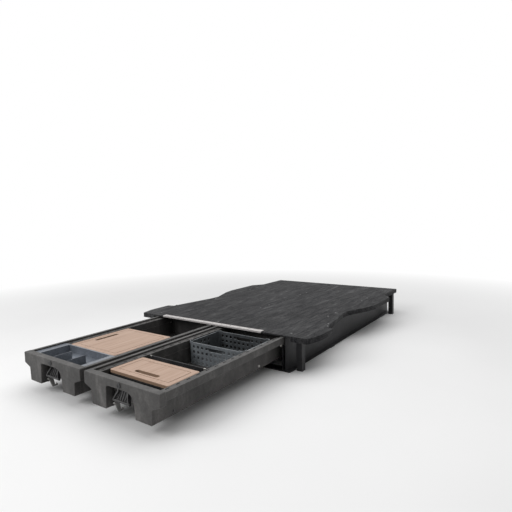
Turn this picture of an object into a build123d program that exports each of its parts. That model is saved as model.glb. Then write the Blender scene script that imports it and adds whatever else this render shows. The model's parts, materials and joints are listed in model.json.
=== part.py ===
from build123d import *
import os

os.makedirs("parts", exist_ok=True)

# Load deck
deck_length = 2440.0
deck_overhang = 245.0
deck_top = 290.0
deck_skin = 11.0
deck_rear = -30.0
deck_seam = 3.0
deck_rib = 5.0
deck_rib_depth = 32.0
deck_rib_pitch = 240.0
deck_edge_chamfer = 1.5
deck_row_shares = (0.0, 1 / 3, 2 / 3, 1.0)
# Outline of one half, as shares of the half width and of the length: rear
# corner, full width, step, wheel arch notch, front wing and front taper
deck_outline_shares = (
    (0.0, 0.0),
    (0.956, 0.0),
    (0.995, 0.053),
    (1.0, 0.150),
    (0.931, 0.159),
    (0.841, 0.370),
    (0.841, 0.415),
    (0.942, 0.520),
    (0.974, 0.580),
    (0.974, 0.765),
    (0.872, 0.820),
    (0.872, 1.0),
    (0.0, 1.0),
)

# Measuring strip along the rear edge of the deck
strip_length = 1129.0
strip_width = 48.0
strip_thickness = 3.0
strip_centre = -68.5
strip_slot_length = 26.0
strip_slot_width = 7.0

# Drawers, drawn open as they are photographed
flange_width = 66.5
drawer_gap = 46.0
drawer_travel = 1215.0
drawer_overlap = 130.0
closed_gap = 3.5
rim_clearance = 2.5
drawer_ground = 83.0
side_draft = 5.5
body_floor_width = 543.0
tub_wall = 4.0
band_height = 50.5
corner_radius = 6.0
lip_width = 25.5
flange_rib = 3.0
flange_rib_count = 3
inner_rib_height = 6.0
inner_rib_depth = 3.0
inner_rib_share = 0.62

# Drawer face with two feet, a notch for the hand and a wing on each side
face_depth = 45.0
face_skin = 5.0
face_rise = 3.5
face_edge = 2.5
notch_top_width = 248.0
notch_foot_width = 264.0
notch_height = 148.5
foot_radius = 7.0
notch_radius = 16.0
wing_inner_height = 92.0
wing_outer_height = 118.0
wing_radius = 8.0
pocket_depth = 20.0
pocket_sill_height = 43.0
ramp_run = 60.0
apron_start = 66.0
apron_drop = 66.0

# Rollers, wheels and the runner strips that ride on them
running_gap = 0.3
bore_gap = 0.06
runner_thickness = 3.0
roller_radius = 20.0
roller_width = 18.0
roller_axle_radius = 6.0
wheel_radius = 16.0
wheel_width = 18.0
wheel_axle_radius = 5.0
wheel_setback = 30.0
hub_recess = 2.0
rail_wall = 2.5
rail_reach = 27.5
rail_clearance = 1.3
rail_start = 34.0
rail_spare = 30.0

# Steel frame on the van floor
beam_inset = 20.0
beam_wall = 3.0
beam_flange = 40.0
beam_end_gap = 2.0
side_web_gap = 7.0
sill_thickness = 6.0
sill_width = 90.0
sill_overhang = 50.0
sill_bolt_radius = 4.5
sill_bolt_spacing = 1200.0
mid_sill_share = 0.30
cross_member_width = 50.0
cross_member_shares = (0.62, 0.79, 0.955)
post_size = 50.0
post_wall = 3.0
post_setback = 17.0
post_gap = 1.0
post_row_shares = (0.04, 0.955)

# Fasteners
bolt_radius = 4.0
bolt_head_radius = 9.0
bolt_head_height = 3.5
bolt_head_taper = 25.0
bolt_gap = 0.25
deck_bolt_shares = (0.030, 0.30, 0.365, 0.635, 0.70, 0.985)
edge_bolt_shares = ((0.922, 0.172), (0.895, 0.200))

# Lock and squeeze handle
lock_height = 172.5
lock_ring_radius = 16.0
lock_ring_height = 5.0
lock_barrel_radius = 12.0
lock_barrel_length = 27.0
lock_core_radius = 8.0
lock_core_length = 30.0
lock_cam_length = 16.0
lock_cam_thickness = 3.0
key_slot_width = 2.4
key_slot_length = 9.0
handle_pivot_in = 46.0
handle_pivot_drop = 17.0
handle_hub_radius = 8.5
handle_pin_radius = 4.0
handle_half_width = 50.0
handle_grip_half_width = 76.0
handle_arm_width = 9.0
handle_grip_in = 15.0
handle_grip_drop = 80.0
handle_grip_radius = 8.0
paddle_thickness = 4.0
paddle_rib = 3.0
paddle_rib_count = 4
lug_thickness = 6.0
lug_gap = 0.5
bracket_thickness = 3.0

# Latch rod and hook, at the left of the handle
latch_offset = -90.0
latch_width = 10.0
latch_rod_in = 58.0
latch_rod_radius = 3.0
latch_ear_radius = 5.0
hook_pivot_in = 34.0
hook_pivot_height = 33.0
hook_pin_radius = 3.5
hook_hub_radius = 8.0
hook_arm_drop = 15.0
hook_arm_height = 8.0
hook_tip_in = 90.0
hook_tip_width = 7.5
hook_tip_rise = 7.5
hook_gap = 0.3
rod_gap = 0.6
striker_in = 80.0
striker_bar_radius = 4.0
striker_plate = 4.0
striker_gap = 3.0

# Boxes, tray, crate and divider inside the drawers
bin_clearance = 3.5
bin_wall = 3.5
bin_taper = 1.5
bin_radius = 18.0
module_length = 272.5
lid_thickness = 20.0
lid_drop = 13.5
lid_radius = 14.0
lid_groove = 6.0
lid_groove_depth = 2.5
lid_groove_inset = 36.0
lid_plug = 4.0
hand_slot_length = 215.0
hand_slot_width = 34.0
large_box_front = 263.0
small_box_front = 82.0
large_slot_offset = -189.5
small_slot_offset = 5.5
small_slot_front = 74.0
tray_front = 6.0
tray_length = 250.0
tray_wall = 3.0
tray_rim = 9.0
tray_cells = 3
tray_clearance = 4.0
tray_shelf_widths = (36.0, 46.0)
tray_shelf_drops = (26.0, 56.0)
crate_front = 801.5
crate_length = 350.0
crate_wall = 4.0
crate_top_drop = 19.0
crate_rim = 11.0
crate_hole = 22.0
crate_pitch = 43.0
crate_hole_columns = 11
crate_side_columns = 3
crate_hole_rows = 4
crate_slot_columns = 4
crate_corner = 40.0
crate_corner_rise = 6.0
divider_front = 414.5
divider_thickness = 5.0
divider_drop = 16.0

# Allowance by which every cut runs past the material
over = 1.0

# Heights and places that follow from the sizes above
deck_under = deck_top - deck_skin
rim_top = deck_under - rim_clearance
body_top_width = body_floor_width + 2 * side_draft
drawer_width = body_top_width + 2 * flange_width
deck_half_width = drawer_gap / 2 + drawer_width + deck_overhang
sill_half_length = drawer_gap / 2 + drawer_width + sill_overhang
band_bottom = rim_top - band_height
face_top = rim_top + face_rise
drawer_half = drawer_width / 2
body_half = body_top_width / 2
floor_half = body_floor_width / 2
drawer_centre = (drawer_width + drawer_gap) / 2
face_front = deck_rear - closed_gap - face_depth - drawer_travel
tub_front = face_front + face_depth
tub_rear = drawer_overlap + deck_rear
tub_length = tub_rear - tub_front
tub_floor = drawer_ground + tub_wall
body_height = rim_top - drawer_ground
notch_top = drawer_ground + notch_height
bulkhead = tub_front + pocket_depth
pocket_sill = drawer_ground + pocket_sill_height
roller_height = band_bottom - running_gap - roller_radius
rail_top = band_bottom - rail_clearance
wheel_height = rail_top - rail_wall - running_gap - wheel_radius
rail_bottom = wheel_height - wheel_radius - running_gap - rail_wall
wheel_place = tub_rear - wheel_setback
rail_end = wheel_place + drawer_travel + wheel_radius + rail_spare
beam_face = drawer_half - beam_inset
wheel_outer = beam_face - rail_wall - 2 * rail_wall
roller_inner = beam_face - rail_wall - roller_width - rail_wall
centre_box_half = drawer_centre - beam_face
side_face = drawer_centre + beam_face
side_web = drawer_centre + drawer_half + side_web_gap
side_flange = side_web + beam_wall + beam_flange
post_out = side_flange + post_setback + post_size / 2
centre_flange = drawer_gap / 2 - side_web_gap
frame_rear = deck_rear + beam_end_gap
frame_length = deck_length - 2 * beam_end_gap
lid_top = rim_top - lid_drop
ledge_top = lid_top
lip_half = drawer_half - lip_width
lid_under = lid_top - lid_thickness
striker_height = drawer_ground - striker_gap - striker_bar_radius


def facing(x, y):
    """Upright plane seen from the rear of the van, u to the right and v up."""
    return Plane(origin=(x, y, 0), x_dir=(1, 0, 0), z_dir=(0, -1, 0))


def sideways(x):
    """Upright plane across the van, u towards the front and v up."""
    return Plane.YZ.offset(x)


def mirrored(points):
    """Outline of both halves from the points of the right half."""
    return list(points) + [(-u, v) for u, v in reversed(points) if u != 0]


def block(x0, x1, y0, y1, z0, z1, mode=Mode.ADD):
    """Plain bar between two corners."""
    with Locations(((x0 + x1) / 2, (y0 + y1) / 2, (z0 + z1) / 2)):
        Box(x1 - x0, y1 - y0, z1 - z0, mode=mode)


def bar_along_x(x0, x1, y, z, radius, mode=Mode.ADD):
    """Round bar between two values of x."""
    with Locations(Location(((x0 + x1) / 2, y, z), (0, 90, 0))):
        Cylinder(radius, abs(x1 - x0), mode=mode)


def bar_along_z(x, y, z0, z1, radius, mode=Mode.ADD):
    """Upright round bar."""
    with Locations((x, y, (z0 + z1) / 2)):
        Cylinder(radius, z1 - z0, mode=mode)


def write(label, part):
    """Name a finished piece and write it."""
    part.label = label
    export_step(part, f"parts/{label}.step")


# Frame on the van floor
def floor_sill(label, start):
    middle = start + sill_width / 2
    with BuildPart() as sill:
        block(-sill_half_length, sill_half_length, start, start + sill_width, 0, sill_thickness)
        fillet(sill.edges().filter_by(Axis.Z), radius=sill_width / 9)
        with Locations((0, middle, sill_thickness)):
            with GridLocations(sill_bolt_spacing, sill_width, 2, 1):
                Hole(radius=sill_bolt_radius)
    write(label, sill.part)


def side_beam(label, side):
    """Two-cell extrusion that carries the outer rail below and the deck above."""
    top = deck_under
    with BuildPart() as beam:
        with BuildSketch(facing(0, frame_rear + frame_length)):
            Polygon(
                (side * side_face, sill_thickness),
                (side * side_flange, sill_thickness),
                (side * side_flange, sill_thickness + beam_wall),
                (side * (side_web + beam_wall), sill_thickness + beam_wall),
                (side * (side_web + beam_wall), top - beam_wall),
                (side * side_flange, top - beam_wall),
                (side * side_flange, top),
                (side * side_web, top),
                (side * side_web, rail_top),
                (side * side_face, rail_top),
                align=None,
            )
            Polygon(
                (side * (side_face + beam_wall), sill_thickness + beam_wall),
                (side * side_web, sill_thickness + beam_wall),
                (side * side_web, rail_top - beam_wall),
                (side * (side_face + beam_wall), rail_top - beam_wall),
                align=None,
                mode=Mode.SUBTRACT,
            )
        extrude(amount=frame_length)
        bar_along_x(
            side * (side_face - over),
            side * (side_face + beam_wall + over),
            0,
            roller_height,
            roller_axle_radius + bore_gap,
            mode=Mode.SUBTRACT,
        )
    write(label, beam.part)


def centre_beam():
    """Box below the drawers' flanges with one web up to the deck."""
    half = [
        (centre_box_half, sill_thickness),
        (centre_box_half, rail_top),
        (beam_wall, rail_top),
        (beam_wall, deck_under - beam_wall),
        (centre_flange, deck_under - beam_wall),
        (centre_flange, deck_under),
    ]
    inner = [
        (centre_box_half - beam_wall, sill_thickness + beam_wall),
        (centre_box_half - beam_wall, rail_top - beam_wall),
    ]
    with BuildPart() as beam:
        with BuildSketch(facing(0, frame_rear + frame_length)):
            Polygon(*mirrored(half), align=None)
            Polygon(*mirrored(inner), align=None, mode=Mode.SUBTRACT)
        extrude(amount=frame_length)
        bar_along_x(
            -centre_box_half - over,
            centre_box_half + over,
            0,
            roller_height,
            roller_axle_radius + bore_gap,
            mode=Mode.SUBTRACT,
        )
    write("centre_beam", beam.part)


def cross_members():
    """Hollow bars that carry the front of the deck, past the closed drawers."""
    with BuildPart() as bars:
        for share in cross_member_shares:
            y = deck_rear + deck_length * share
            for side in (-1, 1):
                low, high = sorted((side * centre_flange, side * side_web))
                block(low, high, y, y + cross_member_width, rail_top, deck_under)
                block(
                    low - over,
                    high + over,
                    y + beam_wall,
                    y + cross_member_width - beam_wall,
                    rail_top + beam_wall,
                    deck_under - beam_wall,
                    mode=Mode.SUBTRACT,
                )
    write("cross_members", bars.part)


def deck_posts():
    """Hollow posts under the four corners of the deck."""
    with BuildPart() as posts:
        inside = post_size - 2 * post_wall
        for row in post_row_shares:
            for side in (-1, 1):
                with BuildSketch(Plane.XY):
                    with Locations((side * post_out, deck_rear + deck_length * row)):
                        Rectangle(post_size, post_size)
                        Rectangle(inside, inside, mode=Mode.SUBTRACT)
        extrude(amount=deck_under)
    write("deck_posts", posts.part)


def wheel_rail(label, centre, side):
    """Channel that holds the drawer's rear wheel from above and below."""
    web = centre + side * beam_face
    lip = web - side * rail_reach
    inner = web - side * rail_wall
    with BuildPart() as rail:
        with BuildSketch(facing(0, rail_end)):
            Polygon(
                (web, rail_bottom),
                (web, rail_top),
                (lip, rail_top),
                (lip, rail_top - rail_wall),
                (inner, rail_top - rail_wall),
                (inner, rail_bottom + rail_wall),
                (lip, rail_bottom + rail_wall),
                (lip, rail_bottom),
                align=None,
            )
        extrude(amount=rail_end - rail_start)
    write(label, rail.part)


def rail_stops():
    """Rubber blocks in the ends of the rails, which the wheels come to rest on."""
    low = rail_bottom + rail_wall
    high = rail_top - rail_wall
    first = wheel_place - wheel_radius - running_gap
    last = wheel_place + drawer_travel + wheel_radius + running_gap
    with BuildPart() as stops:
        for centre in (-drawer_centre, drawer_centre):
            for side in (-1, 1):
                web = centre + side * (beam_face - rail_wall)
                lip = web - side * (rail_reach - 2 * rail_wall)
                x0, x1 = sorted((web, lip))
                block(x0, x1, rail_start, first, low, high)
                block(x0, x1, last, rail_end, low, high)
    write("rail_stops", stops.part)


def roller_axles():
    """Axles with nuts for the four rollers at the mouth of the frame."""
    with BuildPart() as axles:
        for centre in (-drawer_centre, drawer_centre):
            for side in (-1, 1):
                x = [centre + side * u for u in (
                    roller_inner - rail_wall,
                    roller_inner - running_gap,
                    roller_inner + roller_width + running_gap,
                    beam_face,
                    beam_face + 2 * beam_wall,
                )]
                bar_along_x(x[1], x[4], 0, roller_height, roller_axle_radius)
                for start, end in ((x[0], x[1]), (x[2], x[3])):
                    with BuildSketch(sideways(start)):
                        with Locations((0, roller_height)):
                            RegularPolygon(roller_axle_radius + 2 * beam_wall, 6)
                    extrude(amount=end - start)
    write("roller_axles", axles.part)


def rollers(label, centre):
    """Pair of rollers under the drawer's runners, recessed on their inner side."""
    with BuildPart() as pair:
        for side in (-1, 1):
            x0 = centre + side * roller_inner
            x1 = centre + side * (roller_inner + roller_width)
            bar_along_x(x0, x1, 0, roller_height, roller_radius)
            for radius, mode in (
                (roller_radius - hub_recess, Mode.SUBTRACT),
                (roller_axle_radius + 2 * hub_recess, Mode.ADD),
            ):
                bar_along_x(x0, x0 + side * hub_recess, 0, roller_height, radius, mode=mode)
            bar_along_x(
                x0 - over * side,
                x1 + over * side,
                0,
                roller_height,
                roller_axle_radius + bore_gap,
                mode=Mode.SUBTRACT,
            )
    write(label, pair.part)


def latch_strikers():
    """Bars on the rear sill that the drawer hooks catch when closed."""
    y = face_front + drawer_travel + striker_in
    z = striker_height
    with BuildPart() as strikers:
        for centre in (-drawer_centre, drawer_centre):
            x = centre + latch_offset
            reach = latch_width / 2 + 2 * striker_gap
            for side in (-1, 1):
                x0, x1 = sorted((x + side * reach, x + side * (reach + striker_plate)))
                block(x0, x1, y - 2 * striker_bar_radius, y + 2 * striker_bar_radius,
                      sill_thickness, z + striker_bar_radius)
            block(x - reach - striker_plate, x + reach + striker_plate,
                  y - 4 * striker_bar_radius, y + 2 * striker_bar_radius,
                  sill_thickness, sill_thickness + striker_plate)
            bar_along_x(x - reach, x + reach, y, z, striker_bar_radius)
    write("latch_strikers", strikers.part)


# Deck
def deck_outline(side):
    """Points of one half of the deck."""
    return [
        (side * u * deck_half_width, deck_rear + v * deck_length)
        for u, v in deck_outline_shares
    ]


def bolt_places():
    """Bolts into the three beams and two more near each side step."""
    places = []
    for share in deck_bolt_shares:
        y = deck_rear + deck_length * share
        places.append((-(centre_flange + beam_wall) / 2 - deck_seam / 2, y))
        places.append((-side_web - beam_flange / 2, y))
        places.append((side_web + beam_flange / 2, y))
    for out, along in edge_bolt_shares:
        for side in (-1, 1):
            places.append((side * out * deck_half_width, deck_rear + along * deck_length))
    return places


def deck_panel(label, side, row):
    """One of six flat deck panels, with square holes for the coach bolts."""
    low = deck_rear + deck_length * deck_row_shares[row]
    high = deck_rear + deck_length * deck_row_shares[row + 1]
    low += deck_seam / 2 if row > 0 else 0
    high -= deck_seam / 2 if row < len(deck_row_shares) - 2 else 0
    edge = side * deck_half_width
    hole = bolt_radius + bolt_gap
    with BuildPart() as panel:
        with BuildSketch(Plane.XY.offset(deck_under)):
            Polygon(*deck_outline(side), align=None)
            with Locations((edge / 2 + side * deck_seam / 4, (low + high) / 2)):
                Rectangle(deck_half_width - deck_seam / 2, high - low, mode=Mode.INTERSECT)
        extrude(amount=deck_skin)
        chamfer(panel.faces().sort_by(Axis.Z)[-1].edges(), length=deck_edge_chamfer)
        for x, y in bolt_places():
            if x * side > 0 and low < y < high:
                block(x - hole, x + hole, y - hole, y + hole, deck_under - over, deck_top + over,
                      mode=Mode.SUBTRACT)
    write(label, panel.part)


def deck_edge(label, side):
    """Ribbed frame under one side of the deck, outside the drawers."""
    start = side_flange + deck_rib
    middle = deck_rear + deck_length / 2
    low = deck_rear + deck_rib / 2
    count = int(deck_length / deck_rib_pitch)
    outline = deck_outline(side)
    with BuildPart() as frame:
        with BuildSketch(Plane.XY.offset(deck_under - deck_rib_depth)):
            Polygon(*outline, align=None)
            offset(amount=-deck_rib, kind=Kind.INTERSECTION, mode=Mode.SUBTRACT)
            with Locations((side * (start + deck_rib / 2), middle)):
                Rectangle(deck_rib, deck_length)
            for i in range(count + 1):
                with Locations((side * deck_half_width / 2, low + (deck_length - deck_rib) * i / count)):
                    Rectangle(deck_half_width, deck_rib)
            with Locations((side * (start + deck_half_width / 2), middle)):
                Rectangle(deck_half_width, deck_length, mode=Mode.INTERSECT)
            Polygon(*outline, align=None, mode=Mode.INTERSECT)
            for along in post_row_shares:
                with Locations((side * post_out, deck_rear + deck_length * along)):
                    Rectangle(post_size + 2 * post_gap, post_size + 2 * post_gap, mode=Mode.SUBTRACT)
        extrude(amount=deck_rib_depth)
    write(label, frame.part)


def deck_bolts():
    """Coach bolts with a square neck and a bevelled six-sided head."""
    with BuildPart() as bolts:
        for x, y in bolt_places():
            block(x - bolt_radius, x + bolt_radius, y - bolt_radius, y + bolt_radius,
                  deck_under, deck_top)
            with BuildSketch(Plane.XY.offset(deck_top)):
                with Locations((x, y)):
                    RegularPolygon(bolt_head_radius, 6)
            extrude(amount=bolt_head_height, taper=bolt_head_taper)
    write("deck_bolts", bolts.part)


def ruler_strip():
    """Angled strip over the rear edge of the deck, with a slot at both ends."""
    back = deck_rear - strip_thickness
    front = back + strip_width
    with BuildPart() as strip:
        with BuildSketch(sideways(strip_centre)):
            Polygon(
                (back, deck_under),
                (back, deck_top + strip_thickness * 0.5),
                (back + strip_thickness * 0.5, deck_top + strip_thickness),
                (front - strip_thickness, deck_top + strip_thickness),
                (front, deck_top + strip_thickness * 0.4),
                (front, deck_top),
                (deck_rear, deck_top),
                (deck_rear, deck_under),
                align=None,
            )
        extrude(amount=strip_length / 2, both=True)
        top = deck_top + strip_thickness
        with BuildSketch(Plane.XY.offset(top + over)):
            for share in (-0.5, 0, 0.5):
                x = strip_centre + share * (strip_length - 2 * strip_slot_length)
                with Locations((x, (back + front) / 2)):
                    SlotOverall(strip_slot_length, strip_slot_width)
        extrude(amount=-(over + strip_thickness * 0.5), mode=Mode.SUBTRACT)
    write("ruler_strip", strip.part)


# Drawer tub, face and running gear
def under_cuts(margin):
    """Side views of the hand pocket and of the ramp behind it, grown by a margin."""
    slope = pocket_sill_height / ramp_run
    low = drawer_ground - over
    pocket = (
        (tub_front - over, low),
        (bulkhead + margin, low),
        (bulkhead + margin, notch_top + tub_wall + margin),
        (tub_front - over, notch_top + tub_wall + margin),
    )
    ramp = (
        (bulkhead - margin, low),
        (bulkhead - margin, pocket_sill + margin * slope),
        (bulkhead + margin, pocket_sill + margin * slope),
        (bulkhead + ramp_run + (margin + over) / slope, low),
    )
    return pocket, ramp


def tub(label, centre):
    """Deep moulded tub on two hollow feet, with a stepped rim along each side."""
    pocket_half = notch_foot_width / 2
    ramp_half = floor_half - corner_radius
    with BuildPart() as cavity:
        with BuildSketch(facing(centre, tub_rear - tub_wall)):
            Polygon(*mirrored([
                (floor_half - tub_wall, tub_floor),
                (body_half - tub_wall, ledge_top + over),
            ]), align=None)
        extrude(amount=tub_length - 2 * tub_wall)
        for view, reach in zip(under_cuts(tub_wall), (pocket_half + tub_wall, drawer_half)):
            with BuildSketch(sideways(centre)):
                Polygon(*view, align=None)
            extrude(amount=reach, both=True, mode=Mode.SUBTRACT)
    with BuildPart() as body:
        with BuildSketch(facing(centre, tub_rear)) as outer:
            Polygon(*mirrored([(floor_half, drawer_ground), (body_half, ledge_top)]), align=None)
            fillet(outer.vertices().group_by(Axis.Y)[0], radius=corner_radius)
        extrude(amount=tub_length)
        add(cavity.part, mode=Mode.SUBTRACT)
        for view, reach in zip(under_cuts(0), (pocket_half, ramp_half)):
            with BuildSketch(sideways(centre)):
                Polygon(*view, align=None)
            extrude(amount=reach, both=True, mode=Mode.SUBTRACT)
        # Front wall behind the face, up to the height of the lips
        block(centre - lip_half - tub_wall, centre + lip_half + tub_wall, tub_front,
              tub_front + tub_wall, ledge_top - tub_wall, rim_top - tub_wall / 2)
        # Ledge, raised lip and turned-down band on each side, with ribs below
        for side in (-1, 1):
            with BuildSketch(facing(centre, tub_rear)):
                Polygon(
                    (side * (body_half - tub_wall / 2), ledge_top),
                    (side * lip_half, ledge_top),
                    (side * lip_half, rim_top),
                    (side * drawer_half, rim_top),
                    (side * drawer_half, band_bottom),
                    (side * (drawer_half - tub_wall), band_bottom),
                    (side * (drawer_half - tub_wall), rim_top - tub_wall),
                    (side * (lip_half + tub_wall), rim_top - tub_wall),
                    (side * (lip_half + tub_wall), ledge_top - tub_wall),
                    (side * (body_half - tub_wall / 2), ledge_top - tub_wall),
                    align=None,
                )
            extrude(amount=tub_length)
            for i in range(flange_rib_count):
                y = tub_front + (tub_length - flange_rib) * i / (flange_rib_count - 1)
                x0, x1 = sorted((
                    centre + side * (body_half - tub_wall),
                    centre + side * (drawer_half - tub_wall / 2),
                ))
                block(x0, x1, y, y + flange_rib, band_bottom + runner_thickness, ledge_top - tub_wall / 2)
            # Boss of the rear wheel
            x0, x1 = sorted((
                centre + side * (floor_half - tub_wall / 2),
                centre + side * (wheel_outer - wheel_width - running_gap),
            ))
            bar_along_x(x0, x1, wheel_place, wheel_height, wheel_axle_radius + tub_wall)
            # Rib inside that steadies the boxes
            x0, x1 = sorted((
                centre + side * (body_half - tub_wall - inner_rib_depth),
                centre + side * (body_half - tub_wall / 2),
            ))
            z = drawer_ground + body_height * inner_rib_share
            block(x0, x1, tub_front + tub_wall, tub_rear - tub_wall, z, z + inner_rib_height)
            bar_along_x(
                centre + side * (floor_half - 4 * tub_wall),
                centre + side * wheel_outer,
                wheel_place,
                wheel_height,
                wheel_axle_radius + bore_gap,
                mode=Mode.SUBTRACT,
            )
    write(label, body.part)


def face(label, centre):
    """Moulded face: two feet, a notch between them and a wing on each side."""
    half = [
        (notch_top_width / 2, notch_top),
        (notch_foot_width / 2, drawer_ground),
        (floor_half, drawer_ground),
        (body_half, drawer_ground + wing_inner_height),
        (drawer_half, drawer_ground + wing_outer_height),
        (drawer_half, face_top),
    ]
    with BuildPart() as shell:
        with BuildSketch(facing(centre, tub_front)) as outline:
            Polygon(*mirrored(half), align=None)
            fillet(outline.vertices().group_by(Axis.Y)[0], radius=foot_radius)
            fillet(outline.vertices().filter_by(
                lambda v: abs(abs(v.X) - notch_top_width / 2) < over), radius=notch_radius)
            fillet(outline.vertices().filter_by(
                lambda v: abs(abs(v.X) - drawer_half) < over), radius=wing_radius)
        extrude(amount=face_depth)
        chamfer(shell.faces().sort_by(Axis.Y)[0].outer_wire().edges(), length=face_edge)
        with BuildSketch(facing(centre, tub_front)):
            Polygon(*mirrored(half), align=None)
            offset(amount=-face_skin, kind=Kind.INTERSECTION)
        extrude(amount=face_depth - face_skin, mode=Mode.SUBTRACT)
        # Ribs behind the skin, square to it
        with BuildSketch(facing(centre, tub_front)):
            for u in (-drawer_half + 2 * wing_radius, -(floor_half + notch_foot_width / 2) / 2,
                      -lock_ring_radius * 2, lock_ring_radius * 2,
                      (floor_half + notch_foot_width / 2) / 2, drawer_half - 2 * wing_radius):
                with Locations((u, (drawer_ground + face_top) / 2)):
                    Rectangle(face_skin * 0.8, face_top - drawer_ground)
            for v in (drawer_ground + wing_inner_height * 0.6, drawer_ground + wing_outer_height):
                with Locations((0, v)):
                    Rectangle(drawer_width, face_skin * 0.8)
            Polygon(*mirrored(half), align=None, mode=Mode.INTERSECT)
            with Locations((0, drawer_ground + lock_height)):
                Rectangle(4 * lock_ring_radius - face_skin, 3 * lock_barrel_radius, mode=Mode.SUBTRACT)
        extrude(amount=face_depth - face_skin / 2)
        with Locations(Location((centre, face_front, drawer_ground + lock_height), (90, 0, 0))):
            Cylinder(lock_barrel_radius + bore_gap, 4 * face_skin, mode=Mode.SUBTRACT)
        # Apron that rounds off the upper right corner of the notch
        with BuildSketch(facing(centre, face_front + face_skin)):
            Polygon(
                (apron_start, notch_top + face_skin / 2),
                (notch_top_width / 2 + face_skin / 2, notch_top + face_skin / 2),
                (notch_foot_width / 2, notch_top - apron_drop),
                (apron_start, notch_top - apron_drop),
                align=None,
            )
            with Locations((apron_start, notch_top - apron_drop)):
                Ellipse((notch_top_width + notch_foot_width) / 4 - apron_start, apron_drop,
                        mode=Mode.SUBTRACT)
        extrude(amount=face_skin)
    write(label, shell.part)


def runners(label, centre):
    """Steel strips under the flanges, which roll on the frame's rollers."""
    gap = running_gap
    with BuildPart() as strips:
        for side in (-1, 1):
            x0, x1 = sorted((
                centre + side * (body_half + gap),
                centre + side * (drawer_half - tub_wall - gap),
            ))
            block(x0, x1, tub_front, tub_rear, band_bottom, band_bottom + runner_thickness)
    write(label, strips.part)


def wheel_axles(label, centre):
    """Headed pins that carry the rear wheels."""
    with BuildPart() as pins:
        for side in (-1, 1):
            inner = centre + side * (floor_half - tub_wall)
            outer = centre + side * (wheel_outer + running_gap)
            head = centre + side * (wheel_outer + running_gap + rail_wall)
            bar_along_x(inner, outer, wheel_place, wheel_height, wheel_axle_radius)
            with BuildSketch(sideways(outer)):
                with Locations((wheel_place, wheel_height)):
                    RegularPolygon(wheel_axle_radius + rail_wall, 6)
            extrude(amount=head - outer)
    write(label, pins.part)


def wheels(label, centre):
    """Pair of plain nylon wheels."""
    with BuildPart() as pair:
        for side in (-1, 1):
            x0 = centre + side * (wheel_outer - wheel_width)
            x1 = centre + side * wheel_outer
            bar_along_x(x0, x1, wheel_place, wheel_height, wheel_radius)
            bar_along_x(
                x0 - over * side,
                x1 + over * side,
                wheel_place,
                wheel_height,
                wheel_axle_radius + bore_gap,
                mode=Mode.SUBTRACT,
            )
    write(label, pair.part)


# Lock, handle and latch
def lock_housing(label, centre):
    """Ring and barrel of the lock, set through the face."""
    z = drawer_ground + lock_height
    with BuildPart() as housing:
        with BuildSketch(facing(centre, face_front)):
            with Locations((0, z)):
                Circle(lock_ring_radius)
        extrude(amount=lock_ring_height)
        chamfer(housing.faces().sort_by(Axis.Y)[0].edges(), length=lock_ring_height / 3)
        with BuildSketch(facing(centre, face_front + lock_barrel_length)):
            with Locations((0, z)):
                Circle(lock_barrel_radius)
        extrude(amount=lock_barrel_length)
        with Locations(Location((centre, face_front, z), (90, 0, 0))):
            Cylinder(lock_core_radius + bore_gap, 4 * lock_barrel_length, mode=Mode.SUBTRACT)
    write(label, housing.part)


def lock_cylinder(label, centre):
    """Core with its key slot and the cam behind it."""
    z = drawer_ground + lock_height
    front = face_front - lock_ring_height + over
    with BuildPart() as core:
        with BuildSketch(facing(centre, front + lock_core_length + lock_cam_thickness)):
            with Locations((0, z)):
                Circle(lock_core_radius)
        extrude(amount=lock_core_length + lock_cam_thickness)
        back = face_front + lock_barrel_length + running_gap
        with BuildSketch(facing(centre, back + lock_cam_thickness)):
            with Locations((0, z - (lock_cam_length - lock_core_radius) / 2)):
                RectangleRounded(lock_core_radius * 2, lock_cam_length + lock_core_radius,
                                 radius=lock_core_radius / 2)
        extrude(amount=lock_cam_thickness)
        with BuildSketch(facing(centre, front)):
            with Locations((0, z)):
                SlotOverall(key_slot_length, key_slot_width, rotation=90)
        extrude(amount=-lock_ring_height, mode=Mode.SUBTRACT)
    write(label, core.part)


handle_y = face_front + handle_pivot_in
handle_z = notch_top - handle_pivot_drop
hook_y = face_front + hook_pivot_in
hook_z = drawer_ground + hook_pivot_height
rod_y = face_front + latch_rod_in


def handle_bracket(label, centre):
    """Plate under the top of the notch with two lugs and the handle's pin."""
    left = latch_offset - latch_width
    right = handle_half_width + lug_gap
    with BuildPart() as bracket:
        block(centre + left - lug_thickness, centre + right + lug_thickness,
              handle_y - handle_hub_radius, handle_y + handle_hub_radius,
              notch_top - bracket_thickness, notch_top)
        for x0 in (left - lug_thickness, right):
            with BuildSketch(sideways(centre + x0)):
                with Locations((handle_y, handle_z)):
                    Circle(handle_hub_radius)
                with Locations((handle_y, (handle_z + notch_top) / 2)):
                    Rectangle(2 * handle_hub_radius, notch_top - handle_z)
            extrude(amount=lug_thickness)
        bar_along_x(centre + left - lug_thickness, centre + right + lug_thickness,
                    handle_y, handle_z, handle_pin_radius)
    write(label, bracket.part)


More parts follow.
